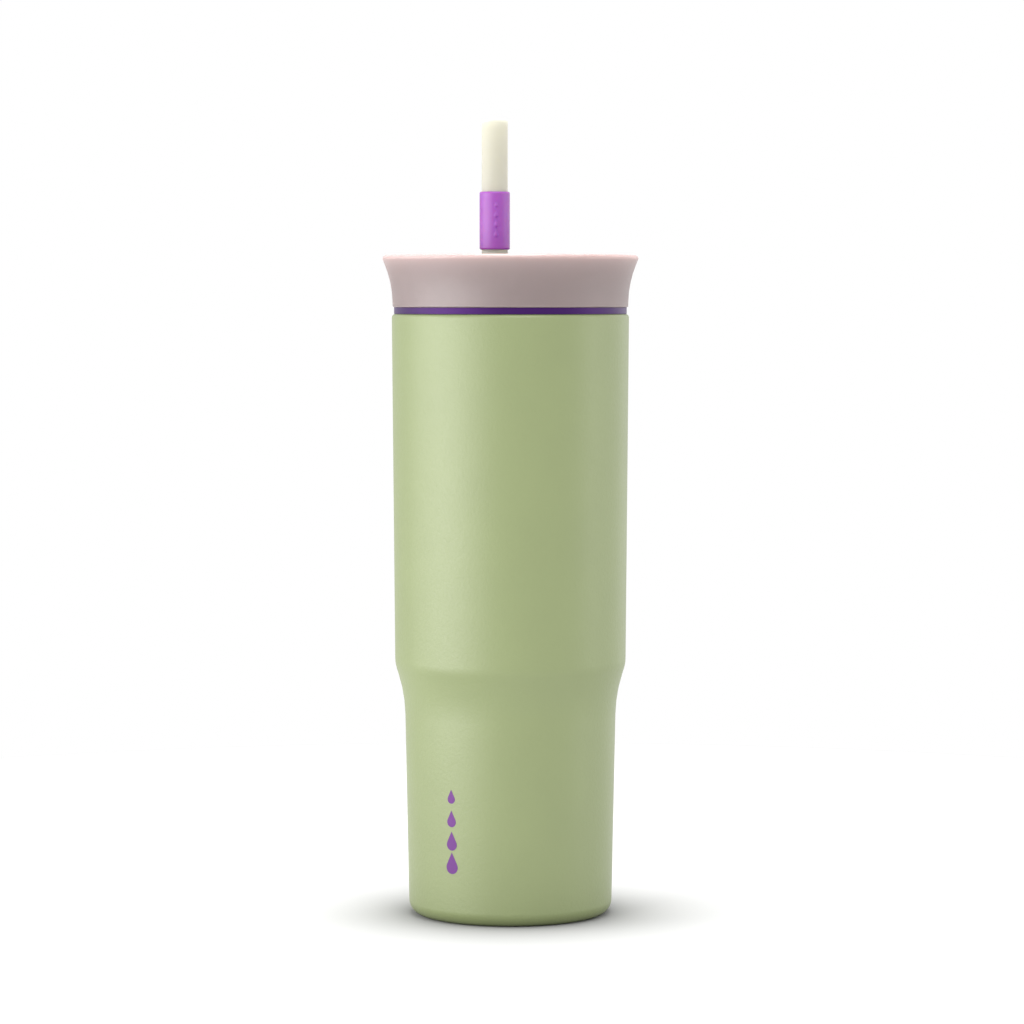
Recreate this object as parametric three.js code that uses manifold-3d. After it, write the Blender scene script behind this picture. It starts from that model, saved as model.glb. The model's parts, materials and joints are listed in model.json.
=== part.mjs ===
// Insulated steel tumbler with a press-in lid, a sliding drink closure and a straw.
// Millimetres, +Z up. The origin is the centre of the base, on the surface it stands on.
// The lid's drink slot faces +X, and the straw stands a little to the other side of the axis.
import * as THREE from "three";
import { mergeVertices } from "three/addons/utils/BufferGeometryUtils.js";
import Module from "manifold-3d";

const wasm = await Module();
wasm.setup();

// ---------------------------------------------------------------- driving dimensions

const GAP = 0.3; // clearance where two rigid pieces meet
const SNUG = 0.1; // clearance where soft rubber grips the straw
const SIDES = 40; // facets round a large turned piece
const SMALL_SIDES = 20; // facets round the straw and the pieces on it
const OVERSHOOT = 1; // how far a cutting tool runs past the face it cuts

// Body of the vessel: a tapered foot for a cup holder, a shoulder and a wider upper body.
const VESSEL_HEIGHT = 211.8;
const FOOT_BOTTOM_RADIUS = 35.75;
const FOOT_TOP = { radius: 37.28, height: 78 };
const SHOULDER = { radius: 40.68, height: 88.6 };
const MOUTH_RADIUS = 41.7;
const FOOT_CORNER = 4.9;
const FOOT_BLEND = 51;
const SHOULDER_BLEND = 12;
const MOUTH_CORNER = 1.3;

// Double wall and what lies between the walls.
const OUTER_WALL = 0.6;
const LINER_WALL = 0.5;
const LINER_INSET = 3.9; // from the outside of the body to the outside of the liner
const LINER_FLOOR = 8;
const LINER_CORNER = 6;
const LINER_SEAM = 18; // where the stamped floor is welded to the liner's tube
const SHIELD = { wall: 0.2, low: 16, high: 191 };
const STAND_RING_RADIUS = 27;
const STAND_LIP = 3.2;
const WELD_RADIUS = 39.6;
const NECK_RADIUS = 38.4;
const NECK_BOTTOM = 196;
const NECK_STEP = 3; // height over which the liner widens into the neck
const LIP = { height: 1.6, back: 1.2, chamfer: 0.4, rise: 0.5 }; // the liner's rolled edge at the mouth

// Lid.
const RIM_TOP = 232.45;
const RIM_RADIUS = 45.53; // where the flare would meet the rim's top with no rounding
const RIM_ROUND = 1.25;
const RIM_INNER_RADIUS = 42.35;
const SKIRT_BOTTOM = 214.15;
const SKIRT_RADIUS = 41.4;
const FLARE = { radius: 41.62, height: 222.9, blend: 36 };
const DECK_TOP = 222;
const DECK_THICKNESS = 2.4;
const DECK_RADIUS = 39.1;
const DECK_BLEND = 3;
const PLUG_HUB_RADIUS = 38.6;
const PLUG_RADIUS = 37.6;
const PLUG_BORE = 33.9;
const PLUG_BOTTOM = 199.5;
const BAND_RADIUS = 40.9;
const GROOVE = { radius: 35.9, low: 202.6, high: 208.6 };
const PLUG_ROUND = 1.2;
const WIPER = { radius: 38.1, under: 0.9, over: 0.6, fromBottom: 1.5, fromTop: 1.2 };
const GASKET_WEB = 1;

// Drink slot and its slider, which travels towards the axis to open.
const SLOT = { x: 27, length: 7, width: 17, corner: 3.2 };
const SLIDER = { x: 27, length: 13, width: 24, thickness: 1.6, corner: 2 };
const SLIDER_TRAVEL = 13.5;
const SLIDER_BODY = { length: 11, width: 20.6, top: 223.2, corner: 2.6 };
const THUMB_RIDGE = { length: 2.2, width: 13, top: 224.8, corner: 1 };
const TRACK_FLOOR = 218.8;
const TRACK_LIP = 1;
const TRACK_END_ROOM = 0.4;
const BOSS_WALL = 1.8;
const BOSS = { end: 0.7, side: 1.6, corner: 3 }; // how far the boss stands out past the track

// Straw and the pieces on it.
const STRAW_X = -5.5;
const STRAW_RADIUS = 4.57;
const STRAW_BORE = 3.47;
const STRAW_BOTTOM = LINER_FLOOR + LINER_WALL + 1.8; // the grommet holds it just clear of the floor
const STRAW_TOP = 279.8;
const STRAW_ROUND = 0.5;
const STRAW_NOTCH = { width: 3.6, height: 3.5 };
const SLEEVE = { radius: 5.33, low: 234.3, high: 254.6, round: 0.5 };
const PORT_RADIUS = 6.9;
const GROMMET = { flange: 1.3, height: 1.3, round: 0.7, barb: 0.8, tail: 1.8, lead: 0.9, bevel: 0.7 };
const VENT = { x: -25, radius: 1.2 };

// ---------------------------------------------------------------- materials

const paint = (name, color, roughness, metalness = 0) =>
  new THREE.MeshStandardMaterial({ name, color, roughness, metalness });

const POWDER_COAT = paint("powder_coat", "#aebd8a", 0.55);
const STEEL = paint("steel", "#c9cacb", 0.3, 1);
const COPPER = paint("copper", "#c27a4f", 0.35, 1);
const GLASS_SOLDER = paint("glass_solder", "#5b5f63", 0.3);
const GETTER = paint("getter_powder", "#6d6a66", 0.9);
const LID_PLASTIC = paint("lid_plastic", "#bfaeab", 0.5);
const PLUG_PLASTIC = paint("plug_plastic", "#4b2a77", 0.35);
const SEAL_RUBBER = paint("seal_rubber", "#d9cfc4", 0.6);
const STRAW_PLASTIC = paint("straw_plastic", "#f0ead6", 0.45);
const SLEEVE_RUBBER = paint("sleeve_rubber", "#a95bc0", 0.5);

// ---------------------------------------------------------------- shape helpers

// Points along an outline of [radius, height, blend, steps] corners, with each blend as an arc.
function outline(corners) {
  return corners.flatMap((corner, i) => {
    const [radius, height, blend = 0, steps = 3] = corner;
    const here = new THREE.Vector2(radius, height);
    if (!blend) return [here];
    const before = new THREE.Vector2(...corners.at(i - 1).slice(0, 2)).sub(here).normalize();
    const after = new THREE.Vector2(...corners[(i + 1) % corners.length].slice(0, 2)).sub(here).normalize();
    const half = Math.acos(before.dot(after)) / 2;
    const centre = before.clone().add(after).setLength(blend / Math.sin(half)).add(here);
    const start = before.clone().multiplyScalar(blend / Math.tan(half)).add(here).sub(centre);
    const side = Math.sign(after.cross(before));
    const turn = side * (Math.PI - 2 * half);
    return Array.from({ length: steps + 1 }, (_, k) =>
      start.clone().rotateAround(new THREE.Vector2(), (turn * k) / steps).add(centre));
  });
}

// A solid of revolution about Z from an outline that starts and ends on the axis, or closes on itself.
function turned(corners, sides = SIDES) {
  const points = outline(corners);
  const onAxis = points[0].x === 0 && points.at(-1).x === 0;
  if (!onAxis) points.push(points[0].clone());
  if (!THREE.ShapeUtils.isClockWise(points)) points.reverse();
  const geometry = new THREE.LatheGeometry(points.reverse(), sides);
  return geometry.rotateX(Math.PI / 2);
}

// A rectangle with round corners, centred on x, standing from one height to another.
function roundedBlock({ x = 0, length, width, corner }, low, high) {
  const shape = new THREE.Shape();
  const [left, right] = [x - length / 2, x + length / 2];
  const [front, back] = [-width / 2, width / 2];
  shape.absarc(right - corner, back - corner, corner, 0, Math.PI / 2);
  shape.absarc(left + corner, back - corner, corner, Math.PI / 2, Math.PI);
  shape.absarc(left + corner, front + corner, corner, Math.PI, 1.5 * Math.PI);
  shape.absarc(right - corner, front + corner, corner, 1.5 * Math.PI, 2 * Math.PI);
  return new THREE.ExtrudeGeometry(shape, { depth: high - low, bevelEnabled: false, curveSegments: 3 })
    .translate(0, 0, low);
}

function post(x, radius, low, high) {
  return new THREE.CylinderGeometry(radius, radius, high - low, SMALL_SIDES)
    .rotateX(Math.PI / 2)
    .translate(x, 0, (low + high) / 2);
}

// A three.js geometry as a manifold-3d solid, and back.
function solid(geometry) {
  const bare = geometry.clone();
  bare.deleteAttribute("normal");
  bare.deleteAttribute("uv");
  const merged = mergeVertices(bare, 1e-4);
  return new wasm.Manifold(new wasm.Mesh({
    numProp: 3,
    vertProperties: merged.attributes.position.array,
    triVerts: new Uint32Array(merged.index.array),
  }));
}

function geometryOf(made) {
  const mesh = made.getMesh();
  const geometry = new THREE.BufferGeometry()
    .setAttribute("position", new THREE.BufferAttribute(mesh.vertProperties, 3))
    .setIndex(new THREE.BufferAttribute(mesh.triVerts, 1));
  geometry.computeVertexNormals();
  return geometry;
}

function piece(name, geometry, material, x = 0) {
  const mesh = new THREE.Mesh(geometry, material);
  mesh.name = name;
  mesh.position.x = x;
  return mesh;
}

// ---------------------------------------------------------------- vessel

const slope = (a, b) => (b.radius - a.radius) / (b.height - a.height);
const FOOT_SLOPE = slope({ radius: FOOT_BOTTOM_RADIUS, height: 0 }, FOOT_TOP);
const UPPER_SLOPE = slope(SHOULDER, { radius: MOUTH_RADIUS, height: VESSEL_HEIGHT });
const footRadius = (height) => FOOT_BOTTOM_RADIUS + FOOT_SLOPE * height;
const upperRadius = (height) => SHOULDER.radius + UPPER_SLOPE * (height - SHOULDER.height);

// The body's line from a low height to a high one, moved in by an inset. Each end is [height, blend].
function bodyLine(inset, low, high, steps = 3) {
  return [
    [footRadius(low[0]) - inset, low[0], low[1]],
    [FOOT_TOP.radius - inset, FOOT_TOP.height, FOOT_BLEND, steps],
    [SHOULDER.radius - inset, SHOULDER.height, SHOULDER_BLEND, 2],
    [upperRadius(high[0]) - inset, high[0], high[1]],
  ];
}

function outerWall() {
  const top = VESSEL_HEIGHT;
  const innerFoot = [OUTER_WALL, FOOT_CORNER - OUTER_WALL];
  const innerMouth = [top - OUTER_WALL, MOUTH_CORNER - OUTER_WALL];
  return turned([
    [STAND_RING_RADIUS, 0],
    ...bodyLine(0, [0, FOOT_CORNER], [top, MOUTH_CORNER], 4),
    [WELD_RADIUS + GAP / 2, top],
    [WELD_RADIUS + GAP / 2, top - OUTER_WALL],
    ...bodyLine(OUTER_WALL, innerFoot, innerMouth).reverse(),
    [STAND_RING_RADIUS + OUTER_WALL, OUTER_WALL],
    [STAND_RING_RADIUS + OUTER_WALL, STAND_LIP],
    [STAND_RING_RADIUS, STAND_LIP],
  ]);
}

function linerWall() {
  const top = VESSEL_HEIGHT;
  const seam = LINER_SEAM + GAP;
  const tube = (inset, neck) => [
    ...bodyLine(LINER_INSET + inset, [seam, 0], [NECK_BOTTOM - NECK_STEP, 0]),
    [neck, NECK_BOTTOM],
  ];
  return turned([
    ...tube(0, NECK_RADIUS + LINER_WALL),
    [NECK_RADIUS + LINER_WALL, top - LIP.back],
    [WELD_RADIUS - GAP / 2, top - LINER_WALL],
    [WELD_RADIUS - GAP / 2, top],
    [NECK_RADIUS + LIP.chamfer, top - LIP.rise],
    [NECK_RADIUS, top - LIP.height],
    ...tube(LINER_WALL, NECK_RADIUS).reverse(),
  ]);
}

function linerFloor() {
  const dish = (inset, corner) => [
    [0, LINER_FLOOR + inset],
    [footRadius(LINER_FLOOR) - LINER_INSET - inset, LINER_FLOOR + inset, corner, 3],
    [footRadius(LINER_SEAM) - LINER_INSET - inset, LINER_SEAM],
  ];
  return turned([
    ...dish(0, LINER_CORNER),
    ...dish(LINER_WALL, LINER_CORNER - LINER_WALL).reverse(),
  ]);
}

function copperShield() {
  const inner = LINER_INSET - GAP;
  const [low, high] = [[SHIELD.low, 0], [SHIELD.high, 0]];
  return turned([
    ...bodyLine(inner - SHIELD.wall, low, high, 2),
    ...bodyLine(inner, low, high, 2).reverse(),
  ]);
}

// The pan that closes the outer wall, with a raised dimple round the port the air was drawn out of.
const PAN = { radius: STAND_RING_RADIUS - GAP, low: 0.6, plate: 2.6, wall: 0.6, port: 1.2, round: 1 };
const DIMPLE = { top: 4, inner: 5.2, outer: 6.6, offset: 0.4 };

function vacuumPan() {
  const { radius, low, plate, wall, port, round } = PAN;
  const { top, inner, outer, offset } = DIMPLE;
  return turned([
    [port, top],
    [inner, top],
    [outer, plate],
    [radius - wall, plate],
    [radius - wall, low],
    [radius, low],
    [radius, plate + wall, round, 2],
    [outer + offset, plate + wall],
    [inner + offset, top + wall],
    [port, top + wall],
  ]);
}

// A bead of solder: a domed head under the dimple and a stem through the port.
function vacuumSeal() {
  const head = DIMPLE.top - GAP;
  const [headRadius, headHeight, stemTop] = [2.6, 0.9, DIMPLE.top + 1.6];
  return turned([
    [0, head - headHeight],
    [0.7 * headRadius, head - 0.9 * headHeight],
    [headRadius, head],
    [PAN.port - GAP, head],
    [PAN.port - GAP, stemTop - 0.2],
    [0, stemTop],
  ], SMALL_SIDES);
}

// The plain disc that covers the port, with a shallow pressed ring in it.
function footDisc() {
  const radius = PAN.radius - PAN.wall - GAP;
  const [low, wall, pressed] = [0.7, 0.6, 0.5];
  const [border, bevel, offset] = [4, 1, 0.2];
  return turned([
    [0, low + pressed],
    [radius - border - bevel, low + pressed],
    [radius - border, low],
    [radius, low, 0.3, 1],
    [radius, low + wall],
    [radius - border - offset, low + wall],
    [radius - border - bevel - offset, low + wall + pressed],
    [0, low + wall + pressed],
  ]);
}

const GETTER_X = 16;
const PILL = { radius: 4.2, height: 2 };

function getterPill() {
  const floor = PAN.plate + PAN.wall + GAP;
  return post(0, PILL.radius, floor, floor + PILL.height);
}

// A strip bent over the pill, with a foot on each side that is spot welded to the pan.
function getterClip() {
  const thickness = 0.4;
  const floor = PAN.plate + PAN.wall + GAP;
  const bridge = floor + PILL.height + GAP + thickness;
  const [leg, foot, width] = [PILL.radius + GAP + thickness, 8.6, 5];
  const half = [
    [foot, floor],
    [foot, floor + thickness],
    [leg, floor + thickness],
    [leg, bridge],
  ];
  const inner = [
    [leg - thickness, bridge - thickness],
    [leg - thickness, floor],
  ];
  const mirrored = (list) => list.map(([x, z]) => [-x, z]).reverse();
  const points = [...half, ...mirrored(half), ...mirrored(inner), ...inner];
  const shape = new THREE.Shape(points.map(([x, z]) => new THREE.Vector2(x, z)));
  return new THREE.ExtrudeGeometry(shape, { depth: width, bevelEnabled: false })
    .rotateX(Math.PI / 2)
    .translate(0, width / 2, 0);
}

// ---------------------------------------------------------------- lid

function lidShell() {
  const deckBottom = DECK_TOP - DECK_THICKNESS;
  const cup = turned([
    [0, deckBottom],
    [PLUG_HUB_RADIUS + GAP, deckBottom],
    [PLUG_HUB_RADIUS + GAP, SKIRT_BOTTOM],
    [SKIRT_RADIUS, SKIRT_BOTTOM, 0.5, 2],
    [FLARE.radius, FLARE.height, FLARE.blend, 4],
    [RIM_RADIUS, RIM_TOP, RIM_ROUND, 4],
    [RIM_INNER_RADIUS, RIM_TOP, RIM_ROUND, 3],
    [DECK_RADIUS, DECK_TOP, DECK_BLEND, 3],
    [0, DECK_TOP],
  ]);

  // The slider's track is sunk into the deck, with a lip along each side, and a boss under it.
  const runLength = SLIDER.length + SLIDER_TRAVEL + 2 * TRACK_END_ROOM;
  const runCorner = SLIDER.corner + TRACK_END_ROOM;
  const run = { x: SLIDER.x - SLIDER_TRAVEL / 2, length: runLength, corner: runCorner };
  const track = { ...run, width: SLIDER.width + 2 * GAP };
  const mouth = { ...run, width: SLIDER_BODY.width + 2 * GAP };
  const { end, side, corner } = BOSS;
  const boss = { ...run, length: runLength + 2 * end, width: track.width + 2 * side, corner };
  return geometryOf(
    solid(cup)
      .add(solid(roundedBlock(boss, TRACK_FLOOR - BOSS_WALL, DECK_TOP - OVERSHOOT)))
      .subtract(solid(roundedBlock(track, TRACK_FLOOR, DECK_TOP - TRACK_LIP)))
      .subtract(solid(roundedBlock(mouth, TRACK_FLOOR, DECK_TOP + OVERSHOOT)))
      .subtract(solid(roundedBlock(SLOT, TRACK_FLOOR - BOSS_WALL - OVERSHOOT, TRACK_FLOOR + OVERSHOOT)))
      .subtract(solid(post(STRAW_X, PORT_RADIUS, deckBottom - OVERSHOOT, DECK_TOP + OVERSHOOT)))
      .subtract(solid(post(VENT.x, VENT.radius, deckBottom - OVERSHOOT, DECK_TOP + OVERSHOOT))),
  );
}

// The ring under the lid: a flange that shows as the dark band, and a plug that holds the gasket.
function lidPlug() {
  const [bandLow, bandHigh] = [VESSEL_HEIGHT + GAP, SKIRT_BOTTOM - GAP];
  return turned([
    [PLUG_BORE, PLUG_BOTTOM],
    [PLUG_RADIUS, PLUG_BOTTOM, PLUG_ROUND, 2],
    [PLUG_RADIUS, GROOVE.low],
    [GROOVE.radius, GROOVE.low],
    [GROOVE.radius, GROOVE.high],
    [PLUG_RADIUS, GROOVE.high],
    [PLUG_RADIUS, bandLow],
    [BAND_RADIUS, bandLow],
    [BAND_RADIUS, bandHigh],
    [PLUG_HUB_RADIUS, bandHigh],
    [PLUG_HUB_RADIUS, TRACK_FLOOR - BOSS_WALL - GAP],
    [PLUG_BORE, TRACK_FLOOR - BOSS_WALL - GAP],
  ]);
}

// A silicone ring with two wiper lips that grip the neck.
function lidGasket() {
  const [low, high] = [GROOVE.low + GAP, GROOVE.high - GAP];
  const back = GROOVE.radius + GAP;
  const web = back + GASKET_WEB;
  const wiper = (height) => [[web, height - WIPER.under], [WIPER.radius, height], [web, height + WIPER.over]];
  return turned([
    [back, low],
    [web, low],
    ...wiper(low + WIPER.fromBottom),
    ...wiper(high - WIPER.fromTop),
    [web, high],
    [back, high],
  ]);
}

function strawGrommet() {
  const bore = STRAW_RADIUS + SNUG;
  const deckBottom = DECK_TOP - DECK_THICKNESS;
  const top = DECK_TOP + GROMMET.height;
  const [neck, flange, barb] = [PORT_RADIUS - GAP, PORT_RADIUS + GROMMET.flange, PORT_RADIUS + GROMMET.barb];
  return turned([
    [bore, deckBottom - GROMMET.tail],
    [barb - GAP, deckBottom - GROMMET.tail + 0.4],
    [barb, deckBottom - GAP],
    [neck, deckBottom - GAP],
    [neck, DECK_TOP + GAP],
    [flange, DECK_TOP + GAP],
    [flange, top, GROMMET.round, 2],
    [bore + GROMMET.lead, top],
    [bore, top - GROMMET.bevel],
  ], SMALL_SIDES);
}

// ---------------------------------------------------------------- slider

const PAD_OVERLAP = 1.3; // how far the pad reaches past the slot's edge
const PAD = {
  x: SLIDER.x,
  length: SLOT.length + 2 * PAD_OVERLAP,
  width: SLOT.width + 2 * PAD_OVERLAP,
  corner: 2,
};
const PAD_THICKNESS = 1;
const SLIDER_BOTTOM = TRACK_FLOOR + GAP;

function sliderTab() {
  const top = SLIDER_BOTTOM + SLIDER.thickness;
  const [seatLength, seatWidth] = [PAD.length + 2 * GAP, PAD.width + 2 * GAP];
  const seat = { ...PAD, length: seatLength, width: seatWidth, corner: PAD.corner + GAP };
  const body = { x: SLIDER.x, ...SLIDER_BODY };
  const ridge = { x: SLIDER.x, ...THUMB_RIDGE };
  return geometryOf(
    solid(roundedBlock(SLIDER, SLIDER_BOTTOM, top))
      .add(solid(roundedBlock(body, SLIDER_BOTTOM, body.top)))
      .add(solid(roundedBlock(ridge, body.top - OVERSHOOT, ridge.top)))
      .subtract(solid(roundedBlock(seat, SLIDER_BOTTOM - OVERSHOOT, SLIDER_BOTTOM + PAD_THICKNESS + GAP))),
  );
}

function sliderPad() {
  return roundedBlock(PAD, SLIDER_BOTTOM, SLIDER_BOTTOM + PAD_THICKNESS);
}

// ---------------------------------------------------------------- straw

// The lower end is notched on both sides, so that it can't seal against the floor when it is pushed down.
function strawTube() {
  const tube = turned([
    [STRAW_BORE, STRAW_BOTTOM],
    [STRAW_RADIUS, STRAW_BOTTOM],
    [STRAW_RADIUS, STRAW_TOP, STRAW_ROUND, 2],
    [STRAW_BORE, STRAW_TOP, STRAW_ROUND, 2],
  ], SMALL_SIDES);
  const { width, height } = STRAW_NOTCH;
  const across = new THREE.BoxGeometry(width, 4 * STRAW_RADIUS, 2 * height).translate(0, 0, STRAW_BOTTOM);
  return geometryOf(solid(tube).subtract(solid(across)));
}

function strawSleeve() {
  const bore = STRAW_RADIUS + SNUG;
  return turned([
    [bore, SLEEVE.low],
    [SLEEVE.radius, SLEEVE.low, SLEEVE.round, 2],
    [SLEEVE.radius, SLEEVE.high, SLEEVE.round, 2],
    [bore, SLEEVE.high],
  ], SMALL_SIDES);
}

// ---------------------------------------------------------------- assembly

const vessel = new THREE.Group();
vessel.add(
  piece("outer_wall", outerWall(), POWDER_COAT),
  piece("liner_wall", linerWall(), STEEL),
  piece("liner_floor", linerFloor(), STEEL),
  piece("copper_shield", copperShield(), COPPER),
  piece("vacuum_pan", vacuumPan(), STEEL),
  piece("vacuum_seal", vacuumSeal(), GLASS_SOLDER),
  piece("foot_disc", footDisc(), STEEL),
  piece("getter_pill", getterPill(), GETTER, GETTER_X),
  piece("getter_clip", getterClip(), STEEL, GETTER_X),
);

const lid = new THREE.Group();
lid.add(
  piece("lid_shell", lidShell(), LID_PLASTIC),
  piece("lid_plug", lidPlug(), PLUG_PLASTIC),
  piece("lid_gasket", lidGasket(), SEAL_RUBBER),
  piece("straw_grommet", strawGrommet(), SEAL_RUBBER, STRAW_X),
);

const slider = new THREE.Group();
slider.add(
  piece("slider_tab", sliderTab(), PLUG_PLASTIC),
  piece("slider_pad", sliderPad(), SEAL_RUBBER),
);

const straw = new THREE.Group();
straw.add(
  piece("straw_tube", strawTube(), STRAW_PLASTIC, STRAW_X),
  piece("straw_sleeve", strawSleeve(), SLEEVE_RUBBER, STRAW_X),
);

const tumbler = new THREE.Group();
tumbler.add(vessel, lid, slider, straw);

export default tumbler;
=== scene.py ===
"""Insulated tumbler with lid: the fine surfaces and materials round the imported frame.

Everything is in metres in the part's own frame: +Z up, the base at z = 0, and the front at -Y.
"""

import json
import math

import bmesh
import bpy
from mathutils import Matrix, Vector


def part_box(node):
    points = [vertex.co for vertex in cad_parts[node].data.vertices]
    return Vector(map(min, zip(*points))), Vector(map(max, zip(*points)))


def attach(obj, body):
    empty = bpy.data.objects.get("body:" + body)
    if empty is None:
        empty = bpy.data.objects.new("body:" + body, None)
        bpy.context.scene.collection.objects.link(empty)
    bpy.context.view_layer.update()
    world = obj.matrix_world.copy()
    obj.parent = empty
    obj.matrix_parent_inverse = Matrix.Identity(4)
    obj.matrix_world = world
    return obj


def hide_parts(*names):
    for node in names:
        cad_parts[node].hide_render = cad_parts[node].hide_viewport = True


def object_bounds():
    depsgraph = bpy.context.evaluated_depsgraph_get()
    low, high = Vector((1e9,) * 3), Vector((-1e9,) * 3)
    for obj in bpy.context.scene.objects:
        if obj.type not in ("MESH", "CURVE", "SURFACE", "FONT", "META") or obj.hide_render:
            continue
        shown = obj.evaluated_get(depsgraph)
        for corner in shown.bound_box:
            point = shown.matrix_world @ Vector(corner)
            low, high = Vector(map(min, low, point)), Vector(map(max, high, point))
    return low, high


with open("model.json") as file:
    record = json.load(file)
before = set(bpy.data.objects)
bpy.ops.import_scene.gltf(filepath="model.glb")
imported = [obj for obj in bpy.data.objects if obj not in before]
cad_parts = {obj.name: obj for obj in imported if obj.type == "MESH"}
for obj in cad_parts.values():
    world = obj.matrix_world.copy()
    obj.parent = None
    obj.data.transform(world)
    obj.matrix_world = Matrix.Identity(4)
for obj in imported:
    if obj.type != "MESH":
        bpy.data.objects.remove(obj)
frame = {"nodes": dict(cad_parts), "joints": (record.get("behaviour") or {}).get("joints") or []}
cad_low, cad_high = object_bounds()

# ---------------------------------------------------------------- dimensions

MM = 0.001
SIDES = 192  # facets round a large turned piece
SMALL_SIDES = 96  # facets round the straw and the pieces on it
VENT_SIDES = 32  # facets round the lid's small vent hole
ARC_STEP = math.radians(6)  # between two points of a blend in a turned outline
CORNER_STEPS = 10  # round one corner of a rounded rectangle
EDGE_STEPS = 6  # round a rounded edge
SHARP = math.radians(40)  # an edge that turns by more than this is drawn sharp
TINY = 1e-7  # points nearer to each other than this are one


def top_of(node):
    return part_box(node)[1].z


def bottom_of(node):
    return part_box(node)[0].z


def radius_of(node):
    low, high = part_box(node)
    return (high.y - low.y) / 2


def middle_x(node):
    low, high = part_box(node)
    return (low.x + high.x) / 2


def travel_of(name):
    """How far a slide joint moves."""
    joint = next(j for j in frame["joints"] if j["name"] == name)
    return joint["range_m"][1] - joint["range_m"][0]


VESSEL_TOP = top_of("outer_wall")
MOUTH_RADIUS = radius_of("outer_wall")
FOOT_BOTTOM_RADIUS = 35.75 * MM
FOOT_TOP = (37.28 * MM, 78 * MM)  # radius and height where the wall turns out to the shoulder
SHOULDER = (40.68 * MM, 88.6 * MM)  # radius and height where it turns up again
FOOT_CORNER = 4.9 * MM
FOOT_BLEND = 51 * MM
SHOULDER_BLEND = 12 * MM
MOUTH_CORNER = 1.3 * MM
OUTER_WALL = 0.6 * MM
STAND_RING_RADIUS = 27 * MM
STAND_LIP = 3.2 * MM
PAINT_EDGE = 40.5 * MM  # the rim is bare steel inside this radius

LINER_WALL = 0.5 * MM
LINER_INSET = 3.9 * MM
LINER_FLOOR = bottom_of("liner_floor")
LINER_CORNER = 6 * MM
NECK_RADIUS = 38.4 * MM
NECK_BOTTOM = 196 * MM
WELD_RADIUS = 39.6 * MM  # where liner and outer wall meet at the mouth

SEAT = 0.02 * MM  # how close two pieces that rest on each other are drawn
RIM_TOP = top_of("lid_shell")
SKIRT_BOTTOM = bottom_of("lid_shell")
DECK_TOP = 222 * MM
DECK_BOTTOM = DECK_TOP - 2.4 * MM
TRACK_FLOOR = 218.8 * MM
TRACK_CORNER = 2.4 * MM
PORT_RADIUS = 6.9 * MM  # of the hole for the straw's collar
VENT_X = -25 * MM
VENT_RADIUS = 1.2 * MM
CUT_PAST = 2 * MM  # how far a cutting tool runs past the face it cuts

STRAW_X = middle_x("straw_tube")
STRAW_RADIUS = radius_of("straw_tube")
STRAW_BORE = 3.47 * MM

# ---------------------------------------------------------------- mesh helpers


def outline(corners):
    """Points along (radius, height, blend) corners, with each blend as a fine arc."""
    points = []
    count = len(corners)
    for i, corner in enumerate(corners):
        here = Vector(corner[:2])
        blend = corner[2] if len(corner) > 2 else 0
        if not blend:
            points.append(here)
            continue
        before = (Vector(corners[i - 1][:2]) - here).normalized()
        after = (Vector(corners[(i + 1) % count][:2]) - here).normalized()
        half = before.angle(after) / 2
        centre = here + (before + after).normalized() * (blend / math.sin(half))
        start = here + before * (blend / math.tan(half)) - centre
        end = here + after * (blend / math.tan(half)) - centre
        turn = math.pi - 2 * half
        if start.x * end.y - start.y * end.x < 0:
            turn = -turn
        steps = max(2, math.ceil(abs(turn) / ARC_STEP))
        for k in range(steps + 1):
            angle = turn * k / steps
            c, s = math.cos(angle), math.sin(angle)
            points.append(centre + Vector((start.x * c - start.y * s, start.x * s + start.y * c)))
    return points


def shade_smooth(bm):
    """Makes all faces smooth, and only the edges that turn sharply sharp."""
    for face in bm.faces:
        face.smooth = True
    for edge in bm.edges:
        edge.smooth = not (len(edge.link_faces) == 2 and edge.calc_face_angle(0) > SHARP)


def new_object(name, bm):
    bmesh.ops.recalc_face_normals(bm, faces=bm.faces[:])
    shade_smooth(bm)
    mesh = bpy.data.meshes.new(name)
    bm.to_mesh(mesh)
    bm.free()
    made = bpy.data.objects.new(name, mesh)
    bpy.context.scene.collection.objects.link(made)
    return made


def turned(name, corners, sides=SIDES, x=0.0):
    """A solid turned about the vertical through x. Its outline closes on itself or on the axis."""
    points = outline(corners)
    bm = bmesh.new()
    rings = []
    for r, z in points:
        if r < TINY:
            rings.append([bm.verts.new((x, 0, z))])
            continue
        angles = [2 * math.pi * k / sides for k in range(sides)]
        rings.append([bm.verts.new((x + r * math.cos(a), r * math.sin(a), z)) for a in angles])
    pairs = list(zip(rings, rings[1:]))
    if len(rings[0]) > 1:
        pairs.append((rings[-1], rings[0]))
    for low, high in pairs:
        for k in range(sides):
            after = (k + 1) % sides
            if len(low) == 1:
                bm.faces.new((low[0], high[after], high[k]))
            elif len(high) == 1:
                bm.faces.new((low[k], low[after], high[0]))
            else:
                bm.faces.new((low[k], low[after], high[after], high[k]))
    return new_object(name, bm)


def rounded_rectangle(x, length, width, corner):
    """Points round a level rectangle centred on (x, 0), with its length along X."""
    points = []
    middles = (
        (x + length / 2 - corner, width / 2 - corner),
        (x - length / 2 + corner, width / 2 - corner),
        (x - length / 2 + corner, corner - width / 2),
        (x + length / 2 - corner, corner - width / 2),
    )
    for quarter, (mx, my) in enumerate(middles):
        for k in range(CORNER_STEPS + 1):
            angle = (quarter + k / CORNER_STEPS) * math.pi / 2
            points.append((mx + corner * math.cos(angle), my + corner * math.sin(angle)))
    return points


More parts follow.
